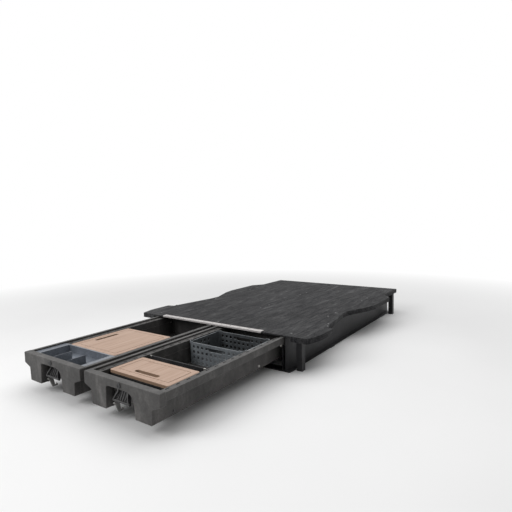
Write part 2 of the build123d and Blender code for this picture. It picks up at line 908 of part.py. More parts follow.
def squeeze_handle(label, centre):
    """Lever pulled by the fingers: hub, two spread arms, ribbed paddle and grip."""
    grip_y = face_front + handle_grip_in
    grip_z = notch_top - handle_grip_drop
    bulge = handle_grip_in / 3
    front = grip_y - handle_grip_radius - bulge
    bend = handle_z - 1.5 * handle_hub_radius
    elbow = (handle_y + handle_hub_radius * 0.7, handle_z - handle_hub_radius * 0.7)
    crown = (handle_y, handle_z + handle_hub_radius * 0.9)
    with BuildPart() as lever:
        # Side view of the arms, then the front view that spreads them
        with BuildSketch(sideways(centre)):
            with BuildLine():
                Line(crown, elbow)
                ThreePointArc(
                    elbow,
                    ((handle_y + grip_y) / 2 + 0.3 * bulge, (handle_z + grip_z) / 2 - bulge),
                    (grip_y + handle_grip_radius, grip_z),
                )
                Line((grip_y + handle_grip_radius, grip_z), (grip_y - handle_grip_radius, grip_z))
                ThreePointArc(
                    (grip_y - handle_grip_radius, grip_z),
                    ((handle_y + grip_y) / 2 - 2.6 * bulge, (handle_z + grip_z) / 2 + 2 * bulge),
                    crown,
                )
            make_face()
        extrude(amount=handle_grip_half_width, both=True)
        with BuildSketch(facing(centre, handle_y + 2 * handle_hub_radius)):
            for side in (-1, 1):
                Polygon(
                    (side * handle_half_width, notch_top),
                    (side * (handle_half_width - handle_arm_width), notch_top),
                    (side * (handle_half_width - handle_arm_width), bend),
                    (side * (handle_grip_half_width - handle_arm_width), grip_z),
                    (side * handle_grip_half_width, grip_z),
                    (side * handle_half_width, bend),
                    align=None,
                )
        extrude(amount=handle_y + 2 * handle_hub_radius - front, mode=Mode.INTERSECT)
        bar_along_x(centre + latch_offset - latch_width / 2, centre + handle_half_width,
                    handle_y, handle_z, handle_hub_radius)
        bar_along_x(centre - handle_grip_half_width, centre + handle_grip_half_width,
                    grip_y, grip_z, handle_grip_radius)
        # Paddle between the arms, with upright ribs on its front
        lean = (handle_y - grip_y) / (handle_z - grip_z)
        with BuildSketch(sideways(centre)):
            Polygon(
                (grip_y, grip_z),
                (grip_y + paddle_thickness, grip_z),
                (handle_y + paddle_thickness * lean, handle_z),
                (handle_y - paddle_thickness * lean, handle_z),
                align=None,
            )
        extrude(amount=handle_half_width - handle_arm_width / 2, both=True)
        for i in range(paddle_rib_count):
            x = (2 * handle_half_width - 2 * handle_arm_width) * ((i + 0.5) / paddle_rib_count - 0.5)
            with BuildSketch(sideways(centre + x)):
                Polygon(
                    (grip_y, grip_z),
                    (handle_y, handle_z),
                    (handle_y - 2 * paddle_rib, handle_z),
                    (grip_y - 2 * paddle_rib, grip_z),
                    align=None,
                )
            extrude(amount=paddle_rib / 2, both=True)
        # Ear that pushes the latch rod
        x0 = centre + latch_offset - latch_width / 2
        with BuildSketch(sideways(x0)):
            Polygon(
                (handle_y, handle_z - handle_hub_radius),
                (rod_y + latch_ear_radius, handle_z - latch_ear_radius / 2),
                (rod_y + latch_ear_radius, handle_z + latch_ear_radius / 2),
                (handle_y, handle_z + handle_hub_radius),
                align=None,
            )
        extrude(amount=latch_width)
        bar_along_x(centre + latch_offset - latch_width - over, centre + handle_half_width + over,
                    handle_y, handle_z, handle_pin_radius + bore_gap, mode=Mode.SUBTRACT)
    write(label, lever.part)


def hook_arm_points():
    """Side view of the latch hook, from its hub back to the upturned tip."""
    peak = striker_height - striker_bar_radius - hook_gap
    low = peak - hook_tip_rise - striker_bar_radius / 2
    tip = face_front + hook_tip_in
    return [
        (hook_y, hook_z + hook_hub_radius * 0.8),
        (rod_y + latch_ear_radius, hook_z - hook_arm_drop / 2),
        (face_front + hook_tip_in * 0.80, low),
        (tip - hook_tip_width, low),
        (tip - hook_tip_width, peak),
        (tip - hook_tip_width / 2, peak),
        (tip, low + striker_bar_radius),
        (tip, low - hook_arm_height),
        (face_front + hook_tip_in * 0.60, low - hook_arm_height),
        (hook_y, hook_z - hook_hub_radius * 0.8),
    ]


def latch_hook(label, centre):
    """Hook under the tub that catches the striker on the rear sill."""
    x0 = centre + latch_offset - latch_width / 2
    with BuildPart() as hook:
        with BuildSketch(sideways(x0)):
            Polygon(*hook_arm_points(), align=None)
            with Locations((hook_y, hook_z)):
                Circle(hook_hub_radius)
                Circle(hook_pin_radius + bore_gap, mode=Mode.SUBTRACT)
        extrude(amount=latch_width)
    write(label, hook.part)


def hook_top_at_rod():
    """Height of the hook's upper edge below the rod."""
    top_u, top_v = hook_arm_points()[0]
    end_u, end_v = hook_arm_points()[1]
    share = (rod_y + latch_rod_radius - top_u) / (end_u - top_u)
    near = (rod_y - latch_rod_radius - top_u) / (end_u - top_u)
    return top_v + (end_v - top_v) * min(share, near)


def latch_rod(label, centre):
    """Upright rod from the handle's ear down to the hook."""
    slope = (handle_hub_radius - latch_ear_radius / 2) / (rod_y + latch_ear_radius - handle_y)
    near = rod_y - latch_rod_radius - handle_y
    top = handle_z - handle_hub_radius + slope * near - rod_gap
    with BuildPart() as rod:
        bar_along_z(centre + latch_offset, rod_y, hook_top_at_rod() + rod_gap, top, latch_rod_radius)
    write(label, rod.part)


def latch_bracket(label, centre):
    """Plate on the bulkhead with the hook's pin and a guide for the rod."""
    x = centre + latch_offset
    half = latch_width / 2 + lug_gap
    low = pocket_sill
    high = pocket_sill + 3 * lug_thickness
    with BuildPart() as bracket:
        block(x - half - lug_thickness, x + half + lug_thickness,
              bulkhead - bracket_thickness, bulkhead, low, high + 2 * lug_thickness)
        for x0 in (x - half - lug_thickness, x + half):
            with BuildSketch(sideways(x0)):
                Polygon(
                    (bulkhead, low),
                    (bulkhead, high),
                    (hook_y, hook_z + hook_hub_radius),
                    (hook_y - hook_hub_radius, hook_z + hook_hub_radius / 2),
                    (hook_y - hook_hub_radius, hook_z - hook_hub_radius / 2),
                    (hook_y, hook_z - hook_hub_radius),
                    align=None,
                )
            extrude(amount=lug_thickness)
        bar_along_x(x - half - lug_thickness, x + half + lug_thickness, hook_y, hook_z, hook_pin_radius)
        # Guide for the rod, above the lugs
        block(x - half, x + half, rod_y - 2 * latch_rod_radius, bulkhead,
              high + lug_thickness, high + 2 * lug_thickness)
        bar_along_z(x, rod_y, high, high + 3 * lug_thickness, latch_rod_radius + bore_gap,
                    mode=Mode.SUBTRACT)
    write(label, bracket.part)


# Contents of the drawers
bin_floor = tub_floor + running_gap
bin_top = lid_under - running_gap
bin_width = body_floor_width - 2 * tub_wall - 2 * bin_clearance


def storage_box(label, centre, front, length):
    """Open box with drawn-in sides and a rolled rim, under a wooden lid."""
    y = tub_front + tub_wall + front + length / 2
    depth = length - 2 * bin_clearance
    height = bin_top - bin_floor
    mouth = Plane(origin=(centre, y, bin_top), z_dir=(0, 0, -1))
    with BuildPart() as box:
        with BuildSketch(mouth):
            RectangleRounded(bin_width, depth - 2 * bin_clearance, radius=bin_radius)
        extrude(amount=height, taper=bin_taper)
        with BuildSketch(mouth):
            RectangleRounded(bin_width - 2 * bin_wall, depth - 2 * bin_clearance - 2 * bin_wall,
                             radius=bin_radius - bin_wall)
        extrude(amount=height - bin_wall, taper=bin_taper, mode=Mode.SUBTRACT)
        # Rib below the rim, moulded with the walls
        with BuildSketch(Plane(origin=(centre, y, bin_top - 3 * bin_wall))):
            RectangleRounded(bin_width + 2 * bin_clearance, depth, radius=bin_radius)
            RectangleRounded(bin_width - bin_wall, depth - 2 * bin_clearance - bin_wall,
                             radius=bin_radius - bin_wall, mode=Mode.SUBTRACT)
        extrude(amount=bin_wall)
    write(label, box.part)


def wooden_lid(label, centre, front, length, slot_u, slot_v, slot_turn):
    """Lid with a routed groove, a hand slot and a plug that fits the box."""
    y = tub_front + tub_wall + front + length / 2
    width = bin_width + 2 * bin_clearance
    depth = length - bin_clearance
    with BuildPart() as lid:
        with BuildSketch(Plane(origin=(centre, y, lid_under))):
            RectangleRounded(width, depth, radius=lid_radius)
        extrude(amount=lid_thickness)
        chamfer(lid.faces().sort_by(Axis.Z)[-1].edges(), length=lid_groove_depth)
        with BuildSketch(Plane(origin=(centre, y, lid_under - lid_plug))):
            RectangleRounded(bin_width - 4 * bin_wall, depth - 2 * bin_clearance - 5 * bin_wall,
                             radius=bin_radius - bin_wall)
        extrude(amount=lid_plug)
        with BuildSketch(Plane(origin=(centre, y, lid_top - lid_groove_depth))):
            RectangleRounded(width - 2 * lid_groove_inset, depth - 2 * lid_groove_inset,
                             radius=lid_radius)
            RectangleRounded(width - 2 * lid_groove_inset - 2 * lid_groove,
                             depth - 2 * lid_groove_inset - 2 * lid_groove,
                             radius=lid_radius - lid_groove, mode=Mode.SUBTRACT)
        extrude(amount=lid_groove_depth + over, mode=Mode.SUBTRACT)
        with BuildSketch(Plane(origin=(centre + slot_u, y + slot_v, lid_under - lid_plug - over))):
            SlotOverall(hand_slot_length, hand_slot_width, rotation=slot_turn)
        extrude(amount=lid_thickness + lid_plug + 2 * over, mode=Mode.SUBTRACT)
    write(label, lid.part)


def parts_tray(label, centre):
    """Tray with three deep cells in front of two shelves that step up."""
    front = tub_front + tub_wall + tray_front
    back = front + tray_length
    top = ledge_top + running_gap + tray_wall
    ledge = notch_top + 2 * tub_wall + tray_clearance / 2
    body_front = bulkhead + tub_wall + tray_clearance
    toe = bulkhead + ramp_run + 2 * tub_wall + tray_clearance
    near = body_front + tray_wall
    far = back - tray_rim - tray_wall
    shelf_starts = (far - tray_shelf_widths[0], far - sum(tray_shelf_widths))
    cell_floor = bin_floor + tray_wall
    half = bin_width / 2 - tray_rim
    inside = half - tray_wall
    with BuildPart() as tray:
        with BuildSketch(sideways(centre)):
            Polygon(
                (body_front, top),
                (body_front, pocket_sill + tray_clearance),
                (toe, bin_floor),
                (back - tray_rim, bin_floor),
                (back - tray_rim, top),
                align=None,
            )
        extrude(amount=half, both=True)
        # Wide rim that lies on the ledges of the tub
        with BuildSketch(Plane.XY.offset(top - tray_wall)):
            with Locations((centre, (front + back) / 2)):
                RectangleRounded(2 * lip_half - tray_clearance, tray_length, radius=bin_radius)
        extrude(amount=tray_wall)
        block(centre - half, centre + half, front + tray_rim, body_front + tray_wall, ledge, top)
        block(centre - inside, centre + inside, front + tray_rim + tray_wall, near,
              ledge + tray_wall, top + over, mode=Mode.SUBTRACT)
        # Two shelves behind the cells, hollow from below
        for start, drop in zip(shelf_starts, tray_shelf_drops):
            block(centre - inside, centre + inside, start, far, top - drop, top + over,
                  mode=Mode.SUBTRACT)
        block(centre - inside, centre + inside, shelf_starts[1] + tray_wall, far,
              bin_floor - over, top - tray_shelf_drops[1] - tray_wall, mode=Mode.SUBTRACT)
        # Cells whose front wall slopes with the ramp of the tub
        for i in range(tray_cells):
            pitch = (2 * inside + tray_wall) / tray_cells
            x0 = centre - inside + pitch * i
            with BuildSketch(sideways(x0)):
                Polygon(
                    (near, top + over),
                    (near, pocket_sill + tray_clearance + tray_wall),
                    (toe + tray_wall, cell_floor),
                    (shelf_starts[1], cell_floor),
                    (shelf_starts[1], top + over),
                    align=None,
                )
            extrude(amount=pitch - tray_wall, mode=Mode.SUBTRACT)
    write(label, tray.part)


def crate(label, centre):
    """Crate with rows of square holes and a wide hand slot in both ends."""
    y = tub_front + tub_wall + crate_front + crate_length / 2
    top = rim_top - crate_top_drop
    height = top - bin_floor
    width = bin_width - 2 * bin_clearance
    with BuildPart() as box:
        with BuildSketch(Plane(origin=(centre, y, bin_floor))):
            RectangleRounded(width, crate_length, radius=bin_radius)
        extrude(amount=height)
        with BuildSketch(Plane(origin=(centre, y, bin_floor + crate_wall))):
            RectangleRounded(width - 2 * crate_wall, crate_length - 2 * crate_wall,
                             radius=bin_radius - crate_wall)
        extrude(amount=height, mode=Mode.SUBTRACT)
        # Rim round the mouth and a raised pad at each corner
        with BuildSketch(Plane(origin=(centre, y, top - crate_rim))):
            RectangleRounded(width + crate_wall, crate_length + crate_wall, radius=bin_radius)
            RectangleRounded(width - crate_wall, crate_length - crate_wall, radius=bin_radius - crate_wall,
                             mode=Mode.SUBTRACT)
        extrude(amount=crate_rim)
        with BuildSketch(Plane(origin=(centre, y, top))):
            RectangleRounded(width + crate_wall, crate_length + crate_wall, radius=bin_radius)
            RectangleRounded(width - crate_wall, crate_length - crate_wall, radius=bin_radius - crate_wall,
                             mode=Mode.SUBTRACT)
            Rectangle(width - 2 * crate_corner, crate_length * 2, mode=Mode.SUBTRACT)
            Rectangle(width * 2, crate_length - 2 * crate_corner, mode=Mode.SUBTRACT)
        extrude(amount=crate_corner_rise)
        # Square holes; the top row leaves room for the hand slot
        first = top - crate_rim - crate_hole
        slot_half = crate_slot_columns * crate_pitch / 2
        with BuildSketch(facing(centre, y + crate_length)):
            for row in range(crate_hole_rows):
                for column in range(crate_hole_columns):
                    u = (column - (crate_hole_columns - 1) / 2) * crate_pitch
                    if row == 0 and abs(u) < slot_half:
                        continue
                    with Locations((u, first - row * (crate_pitch - crate_wall / 2))):
                        Rectangle(crate_hole, crate_hole)
            with Locations((0, first - crate_hole / 8)):
                Trapezoid(slot_half * 1.8, crate_hole * 1.2, 60, rotation=180)
        extrude(amount=2 * crate_length, mode=Mode.SUBTRACT)
        with BuildSketch(sideways(centre)):
            for row in range(crate_hole_rows):
                for column in range(crate_side_columns):
                    u = (column - (crate_side_columns - 1) / 2) * crate_pitch
                    with Locations((y + u, first - row * (crate_pitch - crate_wall / 2))):
                        Rectangle(crate_hole, crate_hole)
        extrude(amount=width, both=True, mode=Mode.SUBTRACT)
    write(label, box.part)


def divider(label, centre):
    """Upright cross wall that stands on the tub's floor."""
    y = tub_front + tub_wall + divider_front
    top = rim_top - divider_drop
    with BuildPart() as wall:
        with BuildSketch(facing(centre, y)):
            shift = bin_clearance / 2 + inner_rib_depth
            Polygon(*mirrored([
                (floor_half - tub_wall - shift - corner_radius, bin_floor),
                (floor_half - tub_wall - shift, bin_floor + corner_radius),
                (body_half - tub_wall - shift - bin_clearance / 2, top),
            ]), align=None)
        extrude(amount=divider_thickness)
        with BuildSketch(facing(centre, y - divider_thickness)):
            for share in (-0.3, 0.3):
                with Locations((share * bin_width, (bin_floor + top) / 2)):
                    Rectangle(divider_thickness, (top - bin_floor) * 0.8)
        extrude(amount=divider_thickness)
    write(label, wall.part)


# Build the frame
floor_sill("rear_sill", deck_rear)
floor_sill("mid_sill", deck_rear + deck_length * mid_sill_share)
floor_sill("front_sill", deck_rear + deck_length - sill_width)
side_beam("side_beam_left", -1)
side_beam("side_beam_right", 1)
centre_beam()
cross_members()
deck_posts()
rail_stops()
roller_axles()
latch_strikers()
for row, place in enumerate(("rear", "mid", "front")):
    deck_panel(f"deck_panel_{place}_left", -1, row)
    deck_panel(f"deck_panel_{place}_right", 1, row)
deck_edge("deck_edge_left", -1)
deck_edge("deck_edge_right", 1)
deck_bolts()
ruler_strip()

# Build the two drawers and what moves with them
for name, centre in (("left", -drawer_centre), ("right", drawer_centre)):
    wheel_rail(f"{name}_drawer_rail_a", centre, -1)
    wheel_rail(f"{name}_drawer_rail_b", centre, 1)
    rollers(f"{name}_rollers", centre)
    tub(f"{name}_tub", centre)
    face(f"{name}_face", centre)
    runners(f"{name}_runners", centre)
    wheel_axles(f"{name}_wheel_axles", centre)
    wheels(f"{name}_wheels", centre)
    lock_housing(f"{name}_lock_housing", centre)
    lock_cylinder(f"{name}_lock_cylinder", centre)
    handle_bracket(f"{name}_handle_bracket", centre)
    squeeze_handle(f"{name}_handle", centre)
    latch_bracket(f"{name}_latch_bracket", centre)
    latch_rod(f"{name}_latch_rod", centre)
    latch_hook(f"{name}_latch_hook", centre)

# Build what the drawers hold
storage_box("large_box", -drawer_centre, large_box_front, 2 * module_length)
wooden_lid("large_lid", -drawer_centre, large_box_front, 2 * module_length, large_slot_offset, 0, 90)
storage_box("small_box", drawer_centre, small_box_front, module_length)
wooden_lid("small_lid", drawer_centre, small_box_front, module_length, small_slot_offset,
           small_slot_front - module_length / 2, 0)
parts_tray("parts_tray", -drawer_centre)
crate("crate", drawer_centre)
divider("divider", drawer_centre)
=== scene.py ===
import bpy, bmesh, json, math
from mathutils import Matrix, Vector


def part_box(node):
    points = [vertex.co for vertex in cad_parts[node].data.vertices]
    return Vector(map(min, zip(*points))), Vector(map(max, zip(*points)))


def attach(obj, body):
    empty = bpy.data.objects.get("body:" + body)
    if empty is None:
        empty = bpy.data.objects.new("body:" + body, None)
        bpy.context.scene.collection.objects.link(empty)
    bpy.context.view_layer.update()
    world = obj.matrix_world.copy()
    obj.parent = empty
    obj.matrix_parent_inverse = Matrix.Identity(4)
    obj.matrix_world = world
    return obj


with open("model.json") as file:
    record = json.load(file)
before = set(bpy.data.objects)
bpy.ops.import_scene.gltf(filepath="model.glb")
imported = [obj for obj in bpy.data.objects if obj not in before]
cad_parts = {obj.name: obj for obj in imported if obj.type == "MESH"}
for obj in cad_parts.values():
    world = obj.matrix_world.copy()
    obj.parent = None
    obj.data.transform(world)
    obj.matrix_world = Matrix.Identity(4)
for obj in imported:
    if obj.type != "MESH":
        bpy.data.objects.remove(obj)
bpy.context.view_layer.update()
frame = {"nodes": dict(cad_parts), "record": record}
nodes = frame["nodes"]
scene = bpy.context.scene

# Camera at the photograph's place and angle
camera_place = Vector((2.3957, -2.7632, 1.2032))
yaw, pitch, roll = 0.6148, 0.0910, -0.0243
forward = Vector((-math.sin(yaw) * math.cos(pitch), math.cos(yaw) * math.cos(pitch), -math.sin(pitch)))
level = Vector((math.cos(yaw), math.sin(yaw), 0.0))
upright = level.cross(forward)
right = level * math.cos(roll) + upright * math.sin(roll)
up = -level * math.sin(roll) + upright * math.cos(roll)
camera_data = bpy.data.cameras.new("camera")
camera_data.sensor_width = 36.0
camera_data.lens = 29.84
camera = bpy.data.objects.new("camera", camera_data)
camera.matrix_world = Matrix((
    (right.x, up.x, -forward.x, camera_place.x),
    (right.y, up.y, -forward.y, camera_place.y),
    (right.z, up.z, -forward.z, camera_place.z),
    (0, 0, 0, 1),
))
scene.collection.objects.link(camera)
scene.camera = camera

# Places taken from the frame: lids and ledges share one height
ledge_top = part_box("small_lid")[1][2]
strip_low, strip_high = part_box("ruler_strip")
strip_length = strip_high[0] - strip_low[0]
divider_low, divider_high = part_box("divider")

# Groove of the lids
groove_depth = 0.0025
groove_start = 0.0004

# Slots along the ledges of the drawers
slot_length, slot_width = 0.042, 0.022
slot_slope, slot_lip = 0.002, 0.006
slot_rise, slot_floor = 0.0012, 0.0003
slot_pitch = 0.084
slot_place = 0.2905
slot_end_gap, slot_face_gap = 0.03, 0.06

# Bolts on the side walls of the drawers
bolt_wall = 0.2723
bolt_height = 0.108
bolt_rear, bolt_front = -0.271, -1.130
washer_radius, washer_face_radius = 0.0100, 0.0094
washer_seat, washer_rim, washer_face = -0.0030, 0.0008, 0.0014
head_radius, head_face_radius = 0.0066, 0.0052
head_seat, head_rim, head_face = 0.0012, 0.0046, 0.0056
washer_sides, head_sides = 24, 6

# Clips over the divider's edge
clip_width, clip_span, clip_drop = 0.016, 0.0052, 0.013
clip_sheet, clip_play = 0.0012, 0.0002
clip_inset, clip_setback = 0.016, 0.0025

# Scale on the measuring strip
tick_pitch, tick_half, tick_edge = 0.01, 0.00055, 0.003
tick_tenth, tick_fifth, tick_short = 0.013, 0.009, 0.006
mark_rise, mark_sink = 0.00012, 0.0002
number_pitch, number_size, number_edge = 0.1, 0.014, 0.019
band_end, band_edge, band_taper = 0.045, 0.006, 0.002
band_half, band_end_half, band_rise, band_crown = 0.0032, 0.0020, 0.0002, 0.6


# Materials
class Shader:
    """A node material with short calls for the usual nodes."""

    def __init__(self, name, rough=0.5, metal=0.0, specular=0.5, coat=0.0):
        self.mat = bpy.data.materials.new(name)
        self.mat.use_nodes = True
        self.tree = self.mat.node_tree
        self.bsdf = self.tree.nodes["Principled BSDF"]
        self.bsdf.inputs["Roughness"].default_value = rough
        self.bsdf.inputs["Metallic"].default_value = metal
        self.bsdf.inputs["Specular IOR Level"].default_value = specular
        self.bsdf.inputs["Coat Weight"].default_value = coat
        self.coords = self.add("ShaderNodeTexCoord").outputs["Object"]
        self.height = None

    def add(self, kind, **values):
        made = self.tree.nodes.new(kind)
        for key, value in values.items():
            if key in made.inputs:
                made.inputs[key].default_value = value
            else:
                setattr(made, key, value)
        return made

    def link(self, a, b):
        self.tree.links.new(a, b)

    def fill(self, sockets, values):
        """Link or set each socket, whichever its value asks for."""
        for socket, value in zip(sockets, values):
            if isinstance(value, bpy.types.NodeSocket):
                self.link(value, socket)
            else:
                socket.default_value = (*value, 1.0) if isinstance(value, tuple) else value

    def stretch(self, scale, turn=(0, 0, 0)):
        made = self.add("ShaderNodeMapping", Scale=scale, Rotation=turn)
        self.link(self.coords, made.inputs["Vector"])
        return made.outputs["Vector"]

    def noise(self, scale, detail=4.0, rough=0.55, vector=None, distortion=0.0):
        made = self.add("ShaderNodeTexNoise", Scale=scale, Detail=detail, Roughness=rough,
                        Distortion=distortion)
        self.link(vector or self.coords, made.inputs["Vector"])
        return made.outputs["Fac"]

    def cells(self, scale, vector=None, feature="F1"):
        made = self.add("ShaderNodeTexVoronoi", Scale=scale)
        made.feature = feature
        self.link(vector or self.coords, made.inputs["Vector"])
        return made.outputs["Distance"]

    def bands(self, scale, direction, vector=None, distortion=0.0, detail=2.0, detail_scale=1.0):
        made = self.add("ShaderNodeTexWave", Scale=scale, Distortion=distortion, Detail=detail)
        made.inputs["Detail Scale"].default_value = detail_scale
        made.bands_direction = direction
        self.link(vector or self.coords, made.inputs["Vector"])
        return made.outputs["Fac"]

    def ramp(self, fac, *stops):
        made = self.add("ShaderNodeValToRGB")
        ends = made.color_ramp.elements
        while len(ends) < len(stops):
            ends.new(0.5)
        for end, (place, colour) in zip(ends, stops):
            end.position = place
            end.color = (*colour, 1.0) if isinstance(colour, tuple) else (colour, colour, colour, 1.0)
        self.link(fac, made.inputs["Fac"])
        return made.outputs["Color"]

    def mix(self, fac, a, b, blend="MIX"):
        made = self.add("ShaderNodeMix", data_type="RGBA", blend_type=blend)
        self.fill((made.inputs[0], made.inputs[6], made.inputs[7]), (fac, a, b))
        return made.outputs[2]

    def math(self, how, a, b=0.0):
        made = self.add("ShaderNodeMath", operation=how)
        self.fill((made.inputs[0], made.inputs[1]), (a, b))
        return made.outputs[0]

    def dot(self, a, b):
        made = self.add("ShaderNodeVectorMath", operation="DOT_PRODUCT")
        self.fill((made.inputs[0], made.inputs[1]), (a, b))
        return made.outputs["Value"]

    def axis(self, name, source=None):
        made = self.add("ShaderNodeSeparateXYZ")
        self.link(source or self.coords, made.inputs[0])
        return made.outputs[name]

    def facing(self, name):
        """How much the surface faces along an axis of the object, from -1 to 1."""
        return self.axis(name, self.add("ShaderNodeTexCoord").outputs["Normal"])

    def edges(self, radius):
        """Mask of the rims and corners, where a rounded normal leaves the flat one."""
        rounded = self.add("ShaderNodeBevel", Radius=radius)
        rounded.samples = 4
        flat = self.add("ShaderNodeNewGeometry")
        alike = self.dot(rounded.outputs["Normal"], flat.outputs["Normal"])
        return self.ramp(alike, (0.80, 1.0), (0.97, 0.0))

    def inside(self, node):
        """Mask of the faces that look toward the middle of a node's box."""
        low, high = (Vector(corner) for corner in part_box(node))
        toward = self.add("ShaderNodeVectorMath", operation="SUBTRACT")
        toward.inputs[0].default_value = (low + high) / 2
        self.link(self.coords, toward.inputs[1])
        normal = self.add("ShaderNodeTexCoord").outputs["Normal"]
        return self.ramp(self.dot(toward.outputs["Vector"], normal), (0.0, 0.0), (0.02, 1.0))

    def colour(self, value):
        self.link(value, self.bsdf.inputs["Base Color"])

    def rough(self, fac, low, high):
        made = self.add("ShaderNodeMapRange")
        made.inputs["To Min"].default_value = low
        made.inputs["To Max"].default_value = high
        self.link(fac, made.inputs["Value"])
        self.link(made.outputs["Result"], self.bsdf.inputs["Roughness"])

    def bump(self, fac, depth, strength):
        made = self.add("ShaderNodeBump", Strength=strength, Distance=depth)
        self.link(fac, made.inputs["Height"])
        if self.height:
            self.link(self.height, made.inputs["Normal"])
        self.height = made.outputs["Normal"]
        self.link(self.height, self.bsdf.inputs["Normal"])


def moulded(name, low, high, dust_and_highlight, rough=(0.42, 0.60), grain=900.0, depth=0.00025, top_dust_and_highlight=0.35,
            rim=0.004, shaded_inside=None, inside_shade=0.5, mottle=1.0):
    """Moulded plastic: pebbled grain, upright flow streaks, edges and tops lightened as wear, dust and
    painted highlight, and painted shade inside.
    """
    s = Shader(name, specular=0.4)
    base = s.ramp(s.noise(4.2, 4.0), (0.32, low), (0.68, high))
    fine = s.noise(70.0, 5.0, 0.6)
    base = s.mix(1.0, base, s.ramp(fine, (0.35, 0.80), (0.70, 1.18)), "MULTIPLY")
    drawn = s.noise(7.0, 6.0, 0.66, s.stretch((1.0, 1.0, 0.34)), 0.6)
    base = s.mix(mottle, base, s.ramp(drawn, (0.36, 0.62), (0.52, 0.96), (0.64, 1.65)), "MULTIPLY")
    scratch = s.noise(26.0, 6.0, 0.75, s.stretch((1.0, 0.16, 5.0), (0.0, 0.35, 0.2)))
    base = s.mix(s.math("MULTIPLY", s.ramp(scratch, (0.60, 0.0), (0.72, 1.0)), 0.12), base, dust_and_highlight)
    # Faces looking up are lightened, partly as dust and partly as a painted highlight on the tops
    patches = s.math("MULTIPLY", s.ramp(s.noise(9.0, 6.0, 0.65), (0.34, 0.20), (0.75, 1.0)), top_dust_and_highlight)
    upward_dust_and_highlight = s.math("MULTIPLY", s.math("MAXIMUM", s.facing("Z"), 0.0), patches)
    base = s.mix(upward_dust_and_highlight, base, dust_and_highlight)
    # Edges are lightened, partly as rubbed wear and partly as a painted highlight along the rims
    edge_wear_and_highlight = s.ramp(s.noise(45.0, 5.0, 0.7), (0.30, 0.15), (0.70, 0.75))
    base = s.mix(s.math("MULTIPLY", s.edges(rim), edge_wear_and_highlight), base, dust_and_highlight)
    # Painted shade: faces that look toward the middle of the node's box are darkened
    if shaded_inside:
        patchy = s.ramp(s.noise(12.0, 4.0), (0.3, 0.8), (0.7, 1.0))
        inner = s.math("MULTIPLY", s.inside(shaded_inside), patchy)
        base = s.mix(inner, base, s.mix(1.0, base, (inside_shade, inside_shade, inside_shade), "MULTIPLY"))
    s.colour(base)
    s.rough(s.noise(18.0, 5.0, 0.6), *rough)
    s.bump(s.cells(grain), depth, 0.5)
    s.bump(s.noise(7.0, 2.0), 0.0012, 0.25)
    return s.mat


def metal(name, low, high, rough, brush=(1.0, 8.0, 8.0), metallic=1.0):
    """Plated or drawn metal with fine lines along one axis, cloudy patches and a painted highlight on the
    edges.
    """
    s = Shader(name, metal=metallic)
    lines = s.noise(42.0, 5.0, 0.6, s.stretch(brush))
    cloud = s.noise(24.0, 4.0, 0.6)
    base = s.ramp(cloud, (0.3, low), (0.7, high))
    base = s.mix(0.25, base, s.ramp(lines, (0.3, low), (0.7, high)))
    # Painted highlight along the edges
    s.colour(s.mix(s.math("MULTIPLY", s.edges(0.0012), 0.5), base, high))
    s.rough(s.mix(0.5, lines, cloud), *rough)
    s.bump(lines, 0.00012, 0.35)
    return s.mat


def painted(name, low, high, rough=(0.36, 0.52)):
    """Powder coat or print with orange peel and broad shades."""
    s = Shader(name, specular=0.25)
    s.colour(s.ramp(s.noise(5.0, 4.0), (0.3, low), (0.7, high)))
    s.rough(s.noise(30.0, 4.0), *rough)
    s.bump(s.noise(420.0, 2.0), 0.00018, 0.5)
    return s.mat


def rubbery(name, low, high):
    """Dull rubber with a fine grain."""
    s = Shader(name, specular=0.3)
    s.colour(s.ramp(s.noise(30.0, 5.0), (0.3, low), (0.7, high)))
    s.rough(s.noise(60.0, 4.0), 0.70, 0.88)
    s.bump(s.noise(700.0, 2.0), 0.0002, 0.6)
    return s.mat


def deck_surface():
    """Dark textured deck: long mottled streaks along the van, raised grip marks and a painted highlight on
    the edges.
    """
    s = Shader("deck_grip", specular=0.12)
    streak = s.noise(5.5, 8.0, 0.66, s.stretch((4.2, 0.70, 1.0), (0, 0, 0.22)), 0.8)
    patch = s.noise(2.1, 5.0, 0.6, s.stretch((1.5, 0.6, 1.0)))
    base = s.ramp(streak, (0.38, (0.005, 0.005, 0.006)), (0.50, (0.014, 0.014, 0.015)),
                  (0.60, (0.030, 0.030, 0.031)), (0.76, (0.080, 0.079, 0.080)))
    base = s.mix(1.0, base, s.ramp(patch, (0.32, 0.70), (0.68, 1.30)), "MULTIPLY")
    marks = s.cells(85.0, s.stretch((1.0, 0.42, 1.0), (0, 0, 0.5)), "SMOOTH_F1")
    tops = s.math("MULTIPLY", s.ramp(marks, (0.25, 1.0), (0.45, 0.0)), 0.10)
    base = s.mix(tops, base, (0.13, 0.13, 0.14))
    # Painted highlight along the edges
    s.colour(s.mix(s.math("MULTIPLY", s.edges(0.003), 0.35), base, (0.11, 0.11, 0.11)))
    s.rough(streak, 0.78, 0.52)
    s.bump(s.ramp(marks, (0.20, 1.0), (0.50, 0.0)), 0.0012, 0.55)
    s.bump(s.noise(120.0, 4.0), 0.0005, 0.35)
    return s.mat


